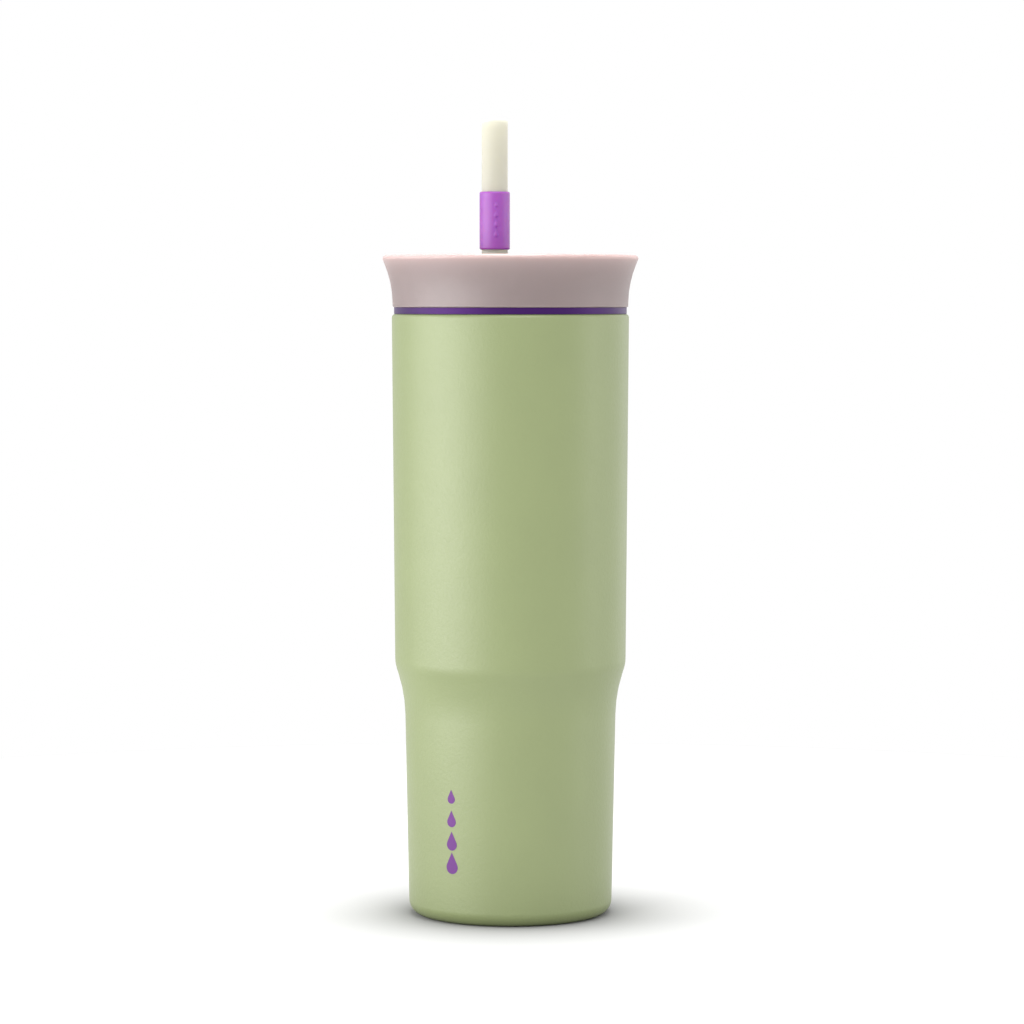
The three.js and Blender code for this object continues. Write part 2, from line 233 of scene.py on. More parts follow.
def stacked(name, loops):
    """A closed solid through level loops of (points, z), all with the same number of points."""
    bm = bmesh.new()
    rings = [[bm.verts.new((px, py, z)) for px, py in points] for points, z in loops]
    for low, high in zip(rings, rings[1:]):
        for k in range(len(low)):
            after = (k + 1) % len(low)
            bm.faces.new((low[k], low[after], high[after], high[k]))
    bm.faces.new(rings[0])
    bm.faces.new(rings[-1])
    return new_object(name, bm)


def rounded_edge(radius):
    """How far aside and below each point of a rounded edge lies, from the side up to the face."""
    for k in range(EDGE_STEPS + 1):
        a = math.pi / 2 * k / EDGE_STEPS
        yield radius * (1 - math.cos(a)), radius * (1 - math.sin(a))


def block(name, shape, low, high, bottom_round=0.0, top_round=0.0):
    """A rounded rectangle standing from low to high, with rounded edges below and above."""
    x, length, width, corner = shape
    loops = []

    def add(inset, z):
        inner = (x, length - 2 * inset, width - 2 * inset, corner - inset)
        loops.append((rounded_rectangle(*inner), z))

    if bottom_round:
        for aside, below in rounded_edge(bottom_round):
            add(below, low + aside)
    else:
        add(0, low)
    if top_round:
        for aside, below in rounded_edge(top_round):
            add(aside, high - below)
    else:
        add(0, high)
    return stacked(name, loops)


def flared_cutter(name, shape, low, surface, flare, above):
    """A cutter whose mouth widens along an arc, so that it leaves a rounded edge at the surface."""
    x, length, width, corner = shape
    loops = [(rounded_rectangle(*shape), low)]
    for aside, below in rounded_edge(flare):
        wider = (x, length + 2 * aside, width + 2 * aside, corner + aside)
        loops.append((rounded_rectangle(*wider), surface - below))
    loops.append((loops[-1][0], surface + above))
    return stacked(name, loops)


def flared_drill(name, x, radius, flare, sides=SMALL_SIDES):
    """A round cutter through the lid's deck, which leaves a rounded edge at the deck's top."""
    corners = [(0, DECK_BOTTOM - CUT_PAST), (radius, DECK_BOTTOM - CUT_PAST)]
    for aside, below in rounded_edge(flare):
        corners.append((radius + aside, DECK_TOP - below))
    corners += [(radius + flare, DECK_TOP + CUT_PAST), (0, DECK_TOP + CUT_PAST)]
    return turned(name, corners, sides, x)


def combine(target, tool, operation):
    """Cuts or joins with an exact boolean, and removes the tool."""
    modifier = target.modifiers.new("cut", "BOOLEAN")
    modifier.operation = operation
    modifier.solver = "EXACT"
    modifier.object = tool
    evaluated = target.evaluated_get(bpy.context.evaluated_depsgraph_get())
    mesh = bpy.data.meshes.new_from_object(evaluated)
    target.modifiers.clear()
    old = target.data
    target.data = mesh
    bpy.data.meshes.remove(old)
    bpy.data.objects.remove(tool)
    bm = bmesh.new()
    bm.from_mesh(mesh)
    bmesh.ops.remove_doubles(bm, verts=bm.verts[:], dist=TINY)
    bmesh.ops.dissolve_degenerate(bm, edges=bm.edges[:], dist=TINY)
    shade_smooth(bm)
    bm.to_mesh(mesh)
    bm.free()


def settle(piece, body, slot, *nodes):
    """Gives a finished piece weighted normals and its body, and hides the frame's nodes that it stands
    for. The slot is not used.
    """
    weighted = piece.modifiers.new("normals", "WEIGHTED_NORMAL")
    weighted.keep_sharp = True
    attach(piece, body)
    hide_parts(*nodes)


# ---------------------------------------------------------------- materials


NOISE_LOW = 0.3  # most of a noise lies between these two
NOISE_HIGH = 0.7
MIX_FIRST, MIX_SECOND, MIX_RESULT = 6, 7, 2  # the colour sockets of a Mix node


class Shader:
    """A small wrapper for building one material's node tree."""

    def __init__(self, name):
        self.material = bpy.data.materials.new(name)
        self.material.use_nodes = True
        self.tree = self.material.node_tree
        self.principled = self.tree.nodes["Principled BSDF"]
        self.place = self.node("ShaderNodeTexCoord").outputs["Object"]

    def node(self, kind, **inputs):
        made = self.tree.nodes.new(kind)
        for name, value in inputs.items():
            self.put(value, made.inputs[name])
        return made

    def put(self, value, socket):
        if isinstance(value, bpy.types.NodeSocket):
            self.tree.links.new(value, socket)
        else:
            socket.default_value = value

    def set(self, **inputs):
        for name, value in inputs.items():
            self.put(value, self.principled.inputs[name.replace("_", " ")])

    def noise(self, scale, detail=2.0, roughness=0.5, place=None):
        made = self.node("ShaderNodeTexNoise", Scale=scale, Detail=detail, Roughness=roughness)
        self.put(place or self.place, made.inputs["Vector"])
        return made.outputs["Fac"]

    def spread(self, value, low, high):
        """Maps the middle of a noise onto a range."""
        made = self.node("ShaderNodeMapRange", Value=value)
        made.inputs["From Min"].default_value = NOISE_LOW
        made.inputs["From Max"].default_value = NOISE_HIGH
        self.put(low, made.inputs["To Min"])
        self.put(high, made.inputs["To Max"])
        return made.outputs["Result"]

    def between(self, value, first, second):
        """A colour between two others."""
        made = self.tree.nodes.new("ShaderNodeMix")
        made.data_type = "RGBA"
        self.put(value, made.inputs["Factor"])
        self.put((*first, 1), made.inputs[MIX_FIRST])
        self.put((*second, 1), made.inputs[MIX_SECOND])
        return made.outputs[MIX_RESULT]

    def mottle(self, noise, color, darkest, palest):
        """The colour, made darker and paler by a noise between two factors."""
        return self.between(self.spread(noise, 0, 1), tint(color, darkest), tint(color, palest))

    def bump(self, height, distance, strength=1.0, under=None):
        made = self.node("ShaderNodeBump", Height=height, Distance=distance, Strength=strength)
        if under:
            self.put(under, made.inputs["Normal"])
        return made.outputs["Normal"]

    def polar(self, scale):
        """Coordinates that only change with radius and height, for marks left by turning."""
        across = self.calculate("MULTIPLY", self.from_axis(), scale)
        along = self.calculate("MULTIPLY", self.height(), scale)
        return self.node("ShaderNodeCombineXYZ", X=across, Y=along).outputs["Vector"]

    def from_axis(self):
        apart = self.node("ShaderNodeSeparateXYZ", Vector=self.place)
        flat = self.node("ShaderNodeCombineXYZ", X=apart.outputs["X"], Y=apart.outputs["Y"])
        length = self.tree.nodes.new("ShaderNodeVectorMath")
        length.operation = "LENGTH"
        self.put(flat.outputs["Vector"], length.inputs[0])
        return length.outputs["Value"]

    def height(self):
        return self.node("ShaderNodeSeparateXYZ", Vector=self.place).outputs["Z"]

    def fade(self, distance, reach):
        """1 where the distance is nothing, falling off with the given reach."""
        return self.calculate("EXPONENT", self.calculate("DIVIDE", distance, -reach))

    def calculate(self, operation, first, second=0.0):
        made = self.tree.nodes.new("ShaderNodeMath")
        made.operation = operation
        self.put(first, made.inputs[0])
        self.put(second, made.inputs[1])
        return made.outputs["Value"]


def tint(color, factor):
    return tuple(min(1.0, c * factor) for c in color)


def powder_coat():
    """Satin powder coat: a soft orange peel about a millimetre across, with a fine grain on it."""
    s = Shader("green_powder_coat")
    color = (0.205, 0.248, 0.096)
    peel = s.noise(900, 2.5)
    grain = s.noise(3800, 1.0)
    cloud = s.noise(45, 2.0)
    relief = s.bump(grain, 0.000035, 0.6, s.bump(peel, 0.0001, 0.7))
    s.set(
        Base_Color=s.mottle(cloud, color, 0.98, 1.02),
        Roughness=s.spread(peel, 0.39, 0.45),
        Specular_IOR_Level=1.0,
        Normal=relief,
    )
    return s.material


def moulded(name, color, rough, grain_scale=2600, relief=0.00002, mottling=0.03):
    """The shader of a moulded plastic or rubber with a fine spark-eroded grain."""
    s = Shader(name)
    grain = s.noise(grain_scale, 2.0)
    cloud = s.noise(90, 2.0)
    s.set(
        Base_Color=s.mottle(cloud, color, 1 - mottling, 1 + mottling),
        Roughness=s.spread(grain, rough - 0.04, rough + 0.04),
        Normal=s.bump(grain, relief, 0.6),
    )
    return s


LID_COLOR = (0.198, 0.143, 0.138)
PAINTED_GLOW_REACH = 2.9 * MM  # how far down from the rim's top the painted glow reaches
PAINTED_GLOW_GAIN = 2.5  # how many times paler the painted glow makes the rim's edge


def lid_plastic():
    """Satin and slightly translucent, with a painted glow: the colour turns paler towards the top edge
    of the rim.
    """
    s = moulded("taupe_lid_plastic", LID_COLOR, 0.5)
    # painted glow: the base colour is made paler near the rim's top, standing in for light
    paler = s.fade(s.calculate("SUBTRACT", RIM_TOP, s.height()), PAINTED_GLOW_REACH)
    s.set(
        Base_Color=s.between(paler, LID_COLOR, tint(LID_COLOR, PAINTED_GLOW_GAIN)),
        Specular_IOR_Level=1.0,
        IOR=1.6,
        Subsurface_Weight=1.0,
        Subsurface_Scale=0.0045,
        Subsurface_Radius=(1.0, 0.9, 0.85),
    )
    return s.material


def plug_plastic():
    s = moulded("violet_plug_plastic", (0.016, 0.002, 0.045), 0.42, relief=0.00001)
    s.set(Specular_IOR_Level=1.0, Specular_Tint=(0.45, 0.19, 0.75, 1))
    return s.material


def seal_rubber():
    s = moulded("pale_silicone", (0.62, 0.57, 0.5), 0.6, grain_scale=1800)
    s.set(Subsurface_Weight=0.15, Subsurface_Scale=0.002)
    return s.material


def straw_plastic():
    color = (0.765, 0.732, 0.56)
    s = moulded("cream_straw_plastic", color, 0.5, grain_scale=1500, relief=0.00001, mottling=0.01)
    s.set(Subsurface_Weight=1.0, Subsurface_Scale=0.007, Subsurface_Radius=(1.0, 1.0, 0.9))
    s.set(Transmission_Weight=0.27, Specular_IOR_Level=0.1)
    return s.material


def sleeve_rubber():
    s = moulded("purple_silicone", (0.278, 0.033, 0.37), 0.4, grain_scale=2200)
    s.set(Subsurface_Weight=0.3, Subsurface_Scale=0.0015, Specular_IOR_Level=0.9)
    return s.material


def printed_ink():
    color = (0.118, 0.016, 0.185)
    return moulded("printed_ink", color, 0.4, grain_scale=3000, relief=0.00001).material


def turned_metal(name, color, rough):
    """Metal turned on its own axis: fine rings, with faint wider bands in the gloss."""
    s = Shader(name)
    rings = s.noise(1.0, 3.0, 0.6, s.polar(4200))
    bands = s.noise(1.0, 2.0, 0.5, s.polar(260))
    smudge = s.noise(70, 3.0)
    banded = s.spread(bands, rough - 0.05, rough + 0.05)
    s.set(
        Base_Color=s.mottle(rings, color, 0.93, 1.04),
        Metallic=1.0,
        Roughness=s.calculate("ADD", banded, s.spread(smudge, -0.02, 0.03)),
        Normal=s.bump(rings, 0.000008, 0.5),
    )
    return s.material


def crinkled_copper():
    s = Shader("copper_foil")
    crease = s.noise(160, 4.0)
    color = (0.72, 0.36, 0.2)
    s.set(
        # painted shade and highlight: the colour follows the crease relief, darker in its hollows and
        # paler on its crests
        Base_Color=s.mottle(crease, color, 0.85, 1.05),
        Metallic=1.0,
        Roughness=s.spread(crease, 0.22, 0.36),
        Normal=s.bump(crease, 0.0004, 0.7),
    )
    return s.material


def pressed_powder():
    color = (0.16, 0.15, 0.14)
    return moulded("pressed_powder", color, 0.85, grain_scale=5200, relief=0.00008).material


def fused_solder():
    color = (0.09, 0.1, 0.11)
    return moulded("fused_solder", color, 0.25, grain_scale=600, relief=0.00005).material


POWDER = powder_coat()
STEEL = turned_metal("turned_steel", (0.82, 0.81, 0.795), 0.32)
LID = lid_plastic()
PLUG = plug_plastic()
SEAL = seal_rubber()
STRAW = straw_plastic()
SLEEVE = sleeve_rubber()
INK = printed_ink()

# ---------------------------------------------------------------- vessel


def line_slope(low, high):
    return (high[0] - low[0]) / (high[1] - low[1])


FOOT_SLOPE = line_slope((FOOT_BOTTOM_RADIUS, 0), FOOT_TOP)
UPPER_SLOPE = line_slope(SHOULDER, (MOUTH_RADIUS, VESSEL_TOP))


def foot_radius(height):
    return FOOT_BOTTOM_RADIUS + FOOT_SLOPE * height


def upper_radius(height):
    return SHOULDER[0] + UPPER_SLOPE * (height - SHOULDER[1])


def body_line(inset, low, high):
    """The body's line between two (height, blend) ends, moved in by an inset."""
    return [
        (foot_radius(low[0]) - inset, *low),
        (FOOT_TOP[0] - inset, FOOT_TOP[1], FOOT_BLEND),
        (SHOULDER[0] - inset, SHOULDER[1], SHOULDER_BLEND),
        (upper_radius(high[0]) - inset, *high),
    ]


def is_bare(face):
    """Whether a face of the shell is unpainted: on its inside, the base's lip or the rim's weld."""
    middle = face.center
    radius = math.hypot(middle.x, middle.y)
    turned_in = face.normal.dot((middle.x, middle.y, 0)) < 0
    on_lip = radius < STAND_RING_RADIUS + 2 * OUTER_WALL
    on_rim = middle.z > VESSEL_TOP - 1.5 * MM and radius < PAINT_EDGE
    on_floor = middle.z < FOOT_CORNER and face.normal.z > 0.5
    return turned_in or on_lip or on_rim or on_floor


def outer_shell():
    """The painted outer wall, with its bare steel lip at the base and weld at the rim."""
    top = VESSEL_TOP
    lip_round = 0.25 * MM
    inner = body_line(
        OUTER_WALL,
        (OUTER_WALL, FOOT_CORNER - OUTER_WALL),
        (top - OUTER_WALL, MOUTH_CORNER - OUTER_WALL),
    )
    corners = [
        (STAND_RING_RADIUS, 0, lip_round),
        *body_line(0, (0, FOOT_CORNER), (top, MOUTH_CORNER)),
        (PAINT_EDGE, top),
        (WELD_RADIUS, top),
        (WELD_RADIUS, top - OUTER_WALL),
        *reversed(inner),
        (STAND_RING_RADIUS + OUTER_WALL, OUTER_WALL, lip_round),
        (STAND_RING_RADIUS + OUTER_WALL, STAND_LIP),
        (STAND_RING_RADIUS, STAND_LIP),
    ]
    shell = turned("tumbler_shell", corners)
    shell.data.materials.append(POWDER)
    shell.data.materials.append(STEEL)
    for face in shell.data.polygons:
        if is_bare(face):
            face.material_index = 1
    settle(shell, "vessel", "powder_coat", "outer_wall")


def liner():
    """The steel cup inside, with its narrower neck and the rim turned out to the weld."""
    top = VESSEL_TOP
    bend = 2 * MM
    step_bottom = NECK_BOTTOM - 3 * MM
    rim_bottom = top - 1.2 * MM

    def cup(inset):
        floor = LINER_FLOOR + inset
        return [
            (0, floor),
            *body_line(LINER_INSET + inset, (floor, LINER_CORNER - inset), (step_bottom, bend)),
        ]

    neck_outside = NECK_RADIUS + LINER_WALL
    corners = [
        *cup(0),
        (neck_outside, NECK_BOTTOM, bend),
        (neck_outside, rim_bottom),
        (WELD_RADIUS, top - LINER_WALL),
        (WELD_RADIUS, top),
        (NECK_RADIUS, top, 1.1 * MM),
        (NECK_RADIUS, NECK_BOTTOM, bend),
        *reversed(cup(LINER_WALL)),
    ]
    cup_piece = turned("steel_liner", corners)
    cup_piece.data.materials.append(STEEL)
    settle(cup_piece, "vessel", "steel", "liner_wall", "liner_floor")


def base_pan():
    """The plate that closes the outer wall, with a dimple round the evacuation port."""
    radius = radius_of("vacuum_pan")
    low = bottom_of("vacuum_pan")
    wall = 0.6 * MM
    plate = 2.6 * MM
    dimple = 4 * MM
    dimple_top = 5.2 * MM
    dimple_foot = 6.6 * MM
    slant = 0.4 * MM
    bend = 0.5 * MM
    port = 1.2 * MM
    corners = [
        (port, dimple),
        (dimple_top, dimple, bend),
        (dimple_foot, plate, bend),
        (radius - wall, plate, 0.4 * MM),
        (radius - wall, low),
        (radius, low),
        (radius, plate + wall, 1 * MM),
        (dimple_foot + slant, plate + wall, bend),
        (dimple_top + slant, dimple + wall, bend),
        (port, dimple + wall),
    ]
    pan = turned("vacuum_base_pan", corners)
    pan.data.materials.append(STEEL)
    settle(pan, "vessel", "steel", "vacuum_pan")


def foot_plate():
    """The disc over the pan, with a pressed step and a faint centring ring."""
    radius = radius_of("foot_disc")
    low = bottom_of("foot_disc")
    high = top_of("foot_disc")
    wall = 0.6 * MM
    plate_low = high - wall
    bend = 0.6 * MM
    ring = 8.4 * MM
    ring_side = 0.4 * MM
    ring_depth = 0.15 * MM
    ring_round = 0.1 * MM
    step_inner = radius - 5 * MM
    step_outer = radius - 4 * MM
    slant = 0.2 * MM
    corners = [
        (0, plate_low),
        (ring - ring_side, plate_low, ring_round),
        (ring, plate_low + ring_depth, ring_round),
        (ring + ring_side, plate_low, ring_round),
        (step_inner, plate_low, bend),
        (step_outer, low, bend),
        (radius, low, 0.25 * MM),
        (radius, low + wall, 0.15 * MM),
        (step_outer - slant, low + wall, bend),
        (step_inner - slant, high, bend),
        (0, high),
    ]
    plate = turned("foot_plate", corners)
    plate.data.materials.append(STEEL)
    settle(plate, "vessel", "steel", "foot_disc")


DROP_WIDTH = 0.62  # of a drop's height
DROP_ROWS = 28
DROP_COLUMNS = 10


def drop_half_width(share, height):
    """Half the width of a plain teardrop, point up, at a share of its height."""
    radius = DROP_WIDTH * height / 2
    up = share * height - radius
    reach = height - radius
    touch = radius * radius / reach
    if up < touch:
        return math.sqrt(max(0.0, radius * radius - up * up))
    return (reach - up) * radius / math.sqrt(reach * reach - radius * radius)


def column_of_drops(name, sizes, x, azimuth, radius_at, film, dome, material):
    """Plain teardrops of (base, height) sizes, standing out of a round wall. Azimuth 0 is the front."""
    turn = math.radians(azimuth - 90)
    bm = bmesh.new()

    def sheet(base, height, lift, swell):
        """Rows of points over one drop, lifted off the wall and swelling towards its middle."""
        rows = []
        for i in range(DROP_ROWS + 1):
            share = (1 - math.cos(math.pi * i / DROP_ROWS)) / 2
            half = drop_half_width(share, height)
            z = base + share * height
            wall = radius_at(z)
            at_end = i in (0, DROP_ROWS)
            row = []
            for k in range(1 if at_end else DROP_COLUMNS + 1):
                across = 0 if at_end else 2 * k / DROP_COLUMNS - 1
                a = turn + half * across / wall
                fullness = (1 - across * across) * half / (DROP_WIDTH * height / 2)
                r = wall + lift + swell * fullness
                row.append(bm.verts.new((x + r * math.cos(a), r * math.sin(a), z)))
            rows.append(row)
        return rows

    for base, height in sizes:
        outer = sheet(base, height, film, dome)
        inner = sheet(base, height, -film, 0)
        for rows in (outer, inner):
            for low, high in zip(rows, rows[1:]):
                for k in range(DROP_COLUMNS):
                    corners = [
                        low[min(k, len(low) - 1)],
                        low[min(k + 1, len(low) - 1)],
                        high[min(k + 1, len(high) - 1)],
                        high[min(k, len(high) - 1)],
                    ]
                    bm.faces.new(list(dict.fromkeys(corners)))
        for end in (0, -1):
            for i in range(DROP_ROWS):
                bm.faces.new((outer[i][end], outer[i + 1][end], inner[i + 1][end], inner[i][end]))
    drops = new_object(name, bm)
    drops.data.materials.append(material)
    return drops


def printed_drops():
    """Plain drops printed on the foot, to the left of the front."""
    sizes = [((18 + 8.2 * k) * MM, (7.6 - 0.9 * k) * MM) for k in range(4)]
    drops = column_of_drops("printed_drops", sizes, 0, -34, foot_radius, 0.05 * MM, 0, INK)
    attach(drops, "vessel")


# ---------------------------------------------------------------- lid


def lid_cup():
    """The flared lid with its sunk deck, and what is cut in the deck."""
    hub = 38.9 * MM
    skirt = 41.4 * MM
    waist = 41.62 * MM
    waist_height = 222.9 * MM
    waist_blend = 36 * MM
    rim_outside = 45.53 * MM
    rim_inside = 42.35 * MM
    rim_round = 1.25 * MM
    dish = 39.1 * MM
    corners = [
        (0, DECK_BOTTOM),
        (hub, DECK_BOTTOM, 0.6 * MM),
        (hub, SKIRT_BOTTOM, 0.2 * MM),
        (skirt, SKIRT_BOTTOM, 0.5 * MM),
        (waist, waist_height, waist_blend),
        (rim_outside, RIM_TOP, rim_round),
        (rim_inside, RIM_TOP, rim_round),
        (dish, DECK_TOP, 3 * MM),
        (0, DECK_TOP),
    ]
    cup = turned("lid_cup", corners)
    cut_track(cup)
    combine(cup, flared_drill("port", STRAW_X, PORT_RADIUS, 0.3 * MM), "DIFFERENCE")
    combine(cup, flared_drill("vent", VENT_X, VENT_RADIUS, 0.3 * MM, VENT_SIDES), "DIFFERENCE")
    cup.data.materials.append(LID)
    settle(cup, "lid", "lid_plastic", "lid_shell")


def cut_track(cup):
    """The slider's track sunk in the deck, the boss under it, and the drink slot in its floor."""
    low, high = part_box("slider_tab")
    rest_x = middle_x("slider_tab")
    travel = travel_of("slider_slide")
    length = (high.x - low.x) + travel + 0.8 * MM
    x = rest_x - travel / 2
    width = high.y - low.y + 0.6 * MM
    mouth_width = 21.2 * MM
    ceiling = DECK_TOP - 1 * MM
    boss_shape = (x, length + 1.4 * MM, width + 3.2 * MM, 3 * MM)
    boss = block("boss", boss_shape, TRACK_FLOOR - 1.8 * MM, ceiling, bottom_round=0.5 * MM)
    combine(cup, boss, "UNION")
    track = block("track", (x, length, width, TRACK_CORNER), TRACK_FLOOR, ceiling)
    combine(cup, track, "DIFFERENCE")
    mouth_shape = (x, length, mouth_width, TRACK_CORNER)
    mouth_low = TRACK_FLOOR + 0.5 * MM
    mouth = flared_cutter("mouth", mouth_shape, mouth_low, DECK_TOP, 0.35 * MM, CUT_PAST)
    combine(cup, mouth, "DIFFERENCE")
    slot_shape = (rest_x, 7 * MM, 17 * MM, 3.2 * MM)
    slot_low = TRACK_FLOOR - 4 * MM
    slot = flared_cutter("slot", slot_shape, slot_low, TRACK_FLOOR, 0.4 * MM, 0.3 * MM)
    combine(cup, slot, "DIFFERENCE")


def plug_ring():
    """The ring under the lid. Its flange is the dark band between lid and body."""
    low = bottom_of("lid_plug")
    high = top_of("lid_plug")
    radius = 37.6 * MM
    band_low = VESSEL_TOP + SEAT
    band_high = SKIRT_BOTTOM - SEAT
    hub = 38.6 * MM
    band = radius_of("lid_plug")
    bore = 33.9 * MM
    groove = 35.9 * MM
    groove_low = 202.6 * MM
    groove_high = 208.6 * MM
    groove_round = 0.25 * MM
    corners = [
        (bore, low, 0.5 * MM),
        (radius, low, 1.2 * MM),
        (radius, groove_low, groove_round),
        (groove, groove_low, groove_round),
        (groove, groove_high, groove_round),
        (radius, groove_high, groove_round),
        (radius, band_low, 0.3 * MM),
        (band, band_low, 0.12 * MM),
        (band, band_high, 0.12 * MM),
        (hub, band_high, 0.2 * MM),
        (hub, high, 0.4 * MM),
        (bore, high, 0.5 * MM),
    ]
    ring = turned("lid_plug_ring", corners)
    ring.data.materials.append(PLUG)
    settle(ring, "lid", "plug_plastic", "lid_plug")


def gasket_ring():
    """The silicone ring in the plug's groove, with two wiper lips."""
    low = bottom_of("lid_gasket")
    high = top_of("lid_gasket")
    tip = radius_of("lid_gasket")
    back = 36.2 * MM
    web = 37.2 * MM
    lower_lip = low + 1.5 * MM
    upper_lip = high - 1.2 * MM
    corners = [(back, low, 0.3 * MM), (web, low, 0.3 * MM)]
    for lip in (lower_lip, upper_lip):
        corners += [
            (web, lip - 0.9 * MM, 0.2 * MM),
            (tip, lip, 0.15 * MM),
            (web, lip + 0.6 * MM, 0.2 * MM),
        ]
    corners += [(web, high, 0.3 * MM), (back, high, 0.3 * MM)]
    ring = turned("lid_seal_ring", corners)
    ring.data.materials.append(SEAL)
    settle(ring, "lid_seal", "seal_rubber", "lid_gasket")


def straw_collar():
    """The silicone grommet round the straw, snapped in the deck between a barb and a flange."""
    bore = STRAW_RADIUS + 0.1 * MM
    neck = 6.6 * MM
    barb_low = 7.4 * MM
    barb_high = 7.7 * MM
    barb_top = DECK_BOTTOM - 0.3 * MM
    flange = radius_of("straw_grommet")
    flange_bottom = DECK_TOP + 0.3 * MM
    top = top_of("straw_grommet")
    corners = [
        (bore, DECK_BOTTOM - 1.8 * MM, 0.2 * MM),
        (barb_low, DECK_BOTTOM - 1.4 * MM, 0.3 * MM),
        (barb_high, barb_top, 0.2 * MM),
        (neck, barb_top),
        (neck, flange_bottom),
        (flange, flange_bottom, 0.15 * MM),
        (flange, top, 0.6 * MM),
        (bore + 0.9 * MM, top, 0.3 * MM),
        (bore, DECK_TOP + 0.6 * MM, 0.2 * MM),
    ]
    collar = turned("straw_collar", corners, SMALL_SIDES, STRAW_X)
    collar.data.materials.append(SEAL)
    settle(collar, "lid", "seal_rubber", "straw_grommet")


# ---------------------------------------------------------------- slider


def slider():
    """The tab that closes the drink slot, with three ridges for the thumb and a seat for its pad."""
    low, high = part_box("slider_tab")
    x = middle_x("slider_tab")
    flange_shape = (x, high.x - low.x, high.y - low.y, 2 * MM)
    flange_top = low.z + 1.6 * MM
    rounding = 0.2 * MM
    flange = block("closure_slider", flange_shape, low.z, flange_top, rounding, rounding)
    tab_shape = (x, 11 * MM, 20.6 * MM, 2.6 * MM)
    tab_top = 223.2 * MM
    tab = block("tab", tab_shape, low.z + 1 * MM, tab_top, top_round=0.7 * MM)
    combine(flange, tab, "UNION")
    ridge_gap = 2.9 * MM
    for place, drop in ((-1, 0.5 * MM), (0, 0), (1, 0.5 * MM)):
        ridge_shape = (x + place * ridge_gap, 1.7 * MM, 13 * MM, 0.84 * MM)
        ridge = block("ridge", ridge_shape, tab_top - 1 * MM, high.z - drop, top_round=0.75 * MM)
        combine(flange, ridge, "UNION")
    pad_low, pad_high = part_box("slider_pad")
    room = 0.6 * MM
    seat_shape = (x, pad_high.x - pad_low.x + room, pad_high.y - pad_low.y + room, 2.3 * MM)
    seat = block("seat", seat_shape, low.z - 1 * MM, pad_high.z + 0.3 * MM)
    combine(flange, seat, "DIFFERENCE")
    flange.data.materials.append(PLUG)
    settle(flange, "drink_slider", "plug_plastic", "slider_tab")


def slider_seal():
    """The silicone pad under the tab."""
    low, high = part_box("slider_pad")
    shape = (middle_x("slider_pad"), high.x - low.x, high.y - low.y, 2 * MM)
    pad = block("slider_seal", shape, low.z, high.z, bottom_round=0.3 * MM, top_round=0.1 * MM)
    pad.data.materials.append(SEAL)
    settle(pad, "drink_slider", "seal_rubber", "slider_pad")


# ---------------------------------------------------------------- straw


def straw():
    """The straw's tube, with a rounded notch across its lower end."""
    low = bottom_of("straw_tube")
    high = top_of("straw_tube")
    corners = [
        (STRAW_BORE, low, 0.2 * MM),
        (STRAW_RADIUS, low, 0.2 * MM),
        (STRAW_RADIUS, high, 0.8 * MM),
        (STRAW_BORE, high, 0.25 * MM),
    ]
    tube = turned("drinking_straw", corners, SMALL_SIDES, STRAW_X)
    notch_shape = (STRAW_X, 3.6 * MM, 20 * MM, 0.2 * MM)
    notch_height = 3.5 * MM
    notch = block("notch", notch_shape, low - notch_height, low + notch_height, top_round=0.2 * MM)
    combine(tube, notch, "DIFFERENCE")
    tube.data.materials.append(STRAW)
    settle(tube, "straw", "straw_plastic", "straw_tube")


def grip_sleeve():
    """The silicone sleeve on the straw, with rounded ends."""
    low = bottom_of("straw_sleeve")
    high = top_of("straw_sleeve")
    radius = radius_of("straw_sleeve")
    bore = STRAW_RADIUS + SEAT
    edge_round = 0.62 * MM
    corners = [
        (bore, low, 0.1 * MM),
        (radius, low, edge_round),
        (radius, high, edge_round),
        (bore, high, 0.1 * MM),
    ]
    sleeve = turned("grip_sleeve", corners, SMALL_SIDES, STRAW_X)
    sleeve.data.materials.append(SLEEVE)
    settle(sleeve, "sleeve", "sleeve_rubber", "straw_sleeve")


def moulded_drops():
    """Plain drops faintly raised on the front of the sleeve."""
    low = bottom_of("straw_sleeve")
    radius = radius_of("straw_sleeve")
    sizes = [(low + (4.2 + 3.5 * k) * MM, (3 - 0.25 * k) * MM) for k in range(4)]
    film = 0.02 * MM
    dome = 0.2 * MM

    def wall(height):
        return radius

    drops = column_of_drops("moulded_drops", sizes, STRAW_X, 6, wall, film, dome, SLEEVE)
    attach(drops, "sleeve")


# ---------------------------------------------------------------- hidden pieces kept from the frame


def dress(node, material):
    """Gives a piece kept from the frame its own material."""
    piece = frame["nodes"][node]
    piece.data.materials.clear()
    piece.data.materials.append(material)


# ---------------------------------------------------------------- stage


FLOOR_RADIUS = 0.5
FLOOR_WHITE = (0.67, 0.67, 0.67)
FLOOR_SHADOW_GREY = (0.36, 0.36, 0.36)
SHADE_REACH = 17 * MM  # how fast the painted shadow round the foot turns to white
SIDE_LAMP_DISTANCE = 1.1
CAMERA_PLACE = (0.56 * MM, -1330 * MM, 218.7 * MM)
CAMERA_DOWN = math.radians(3.3)  # how far the camera looks below the level


def floor():
    """A white disc with a painted contact shadow: grey round the foot, turning white further out."""
    bm = bmesh.new()
    bmesh.ops.create_circle(bm, cap_ends=True, radius=FLOOR_RADIUS, segments=64)
    mesh = bpy.data.meshes.new("studio_floor")
    bm.to_mesh(mesh)
    bm.free()
    ground = bpy.data.objects.new("studio_floor", mesh)
    bpy.context.scene.collection.objects.link(ground)
    s = Shader("floor_with_painted_shadow")
    # painted shadow: the floor's colour is grey at the foot and fades to white
    apart = s.calculate("SUBTRACT", s.from_axis(), FOOT_BOTTOM_RADIUS)
    color = s.between(s.fade(apart, SHADE_REACH), FLOOR_WHITE, FLOOR_SHADOW_GREY)
    s.set(Base_Color=color, Roughness=0.9, Specular_IOR_Level=0.0)
    mesh.materials.append(s.material)


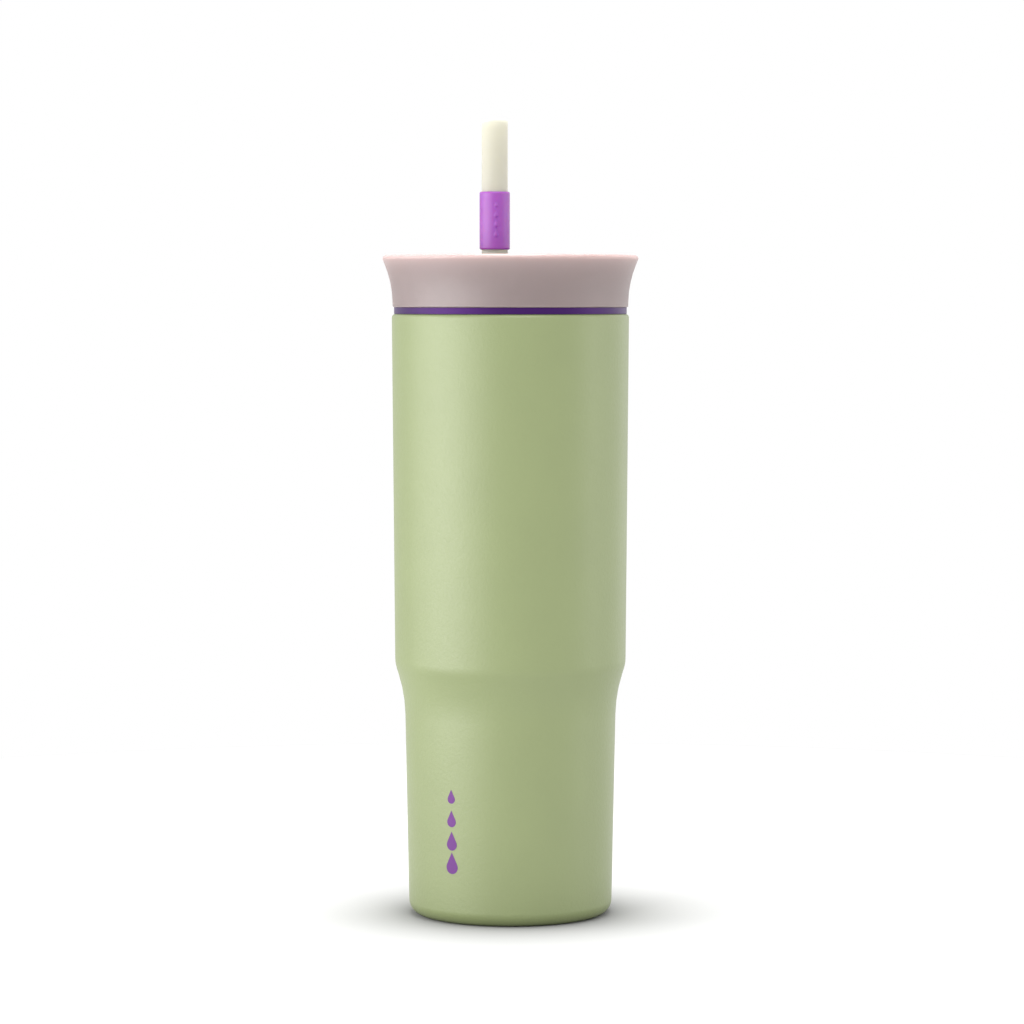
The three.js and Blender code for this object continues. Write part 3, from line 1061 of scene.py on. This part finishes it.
def surroundings(strength):
    """Plain white light from all sides."""
    world = bpy.data.worlds.new("studio")
    world.use_nodes = True
    background = world.node_tree.nodes["Background"]
    background.inputs["Color"].default_value = (1, 1, 1, 1)
    background.inputs["Strength"].default_value = strength
    bpy.context.scene.world = world


def softbox(name, azimuth, height, distance, size, power):
    """A soft rectangular light that faces the tumbler's middle. Azimuth 0 is the front."""
    light = bpy.data.lights.new(name, "AREA")
    light.shape = "RECTANGLE"
    light.size, light.size_y = size
    light.energy = power
    lamp = bpy.data.objects.new(name, light)
    angle = math.radians(azimuth)
    lamp.location = (distance * math.sin(angle), -distance * math.cos(angle), height)
    middle = (cad_low + cad_high) / 2
    lamp.rotation_mode = "QUATERNION"
    lamp.rotation_quaternion = (lamp.location - middle).to_track_quat("Z", "Y")
    bpy.context.scene.collection.objects.link(lamp)


def studio_camera():
    """The photo's viewpoint."""
    data = bpy.data.cameras.new("camera")
    data.sensor_width = 36
    data.lens = 132.8
    camera = bpy.data.objects.new("camera", data)
    camera.location = CAMERA_PLACE
    camera.rotation_euler = (math.pi / 2 - CAMERA_DOWN, 0, 0)
    bpy.context.scene.collection.objects.link(camera)
    bpy.context.scene.camera = camera


outer_shell()
liner()
base_pan()
foot_plate()
printed_drops()
lid_cup()
plug_ring()
gasket_ring()
straw_collar()
slider()
slider_seal()
straw()
grip_sleeve()
moulded_drops()
dress("copper_shield", crinkled_copper())
dress("vacuum_seal", fused_solder())
dress("getter_pill", pressed_powder())
dress("getter_clip", STEEL)

floor()
surroundings(1.0)
for azimuth, power in ((-97, 1.7), (-75, 1.9), (-35, 1.5)):
    softbox("left_high_softbox", azimuth, 0.6, SIDE_LAMP_DISTANCE, (0.34, 0.5), power)
for azimuth, power in ((-97, 0.9), (-75, 1.9), (-55, 2.0), (-35, 0.8)):
    softbox("left_low_softbox", azimuth, 0.1, SIDE_LAMP_DISTANCE, (0.34, 0.4), power)
for azimuth, power in ((85, 1.45), (110, 0.5), (140, 0.7)):
    softbox("right_softbox", azimuth, 0.35, SIDE_LAMP_DISTANCE, (0.34, 0.9), power)
softbox("front_softbox", 12, 1.0, 0.7, (0.5, 0.5), 3)
softbox("overhead_softbox", 180, 1.25, 0.06, (0.36, 0.36), 8)
studio_camera()
bpy.context.scene.view_settings.view_transform = "Standard"
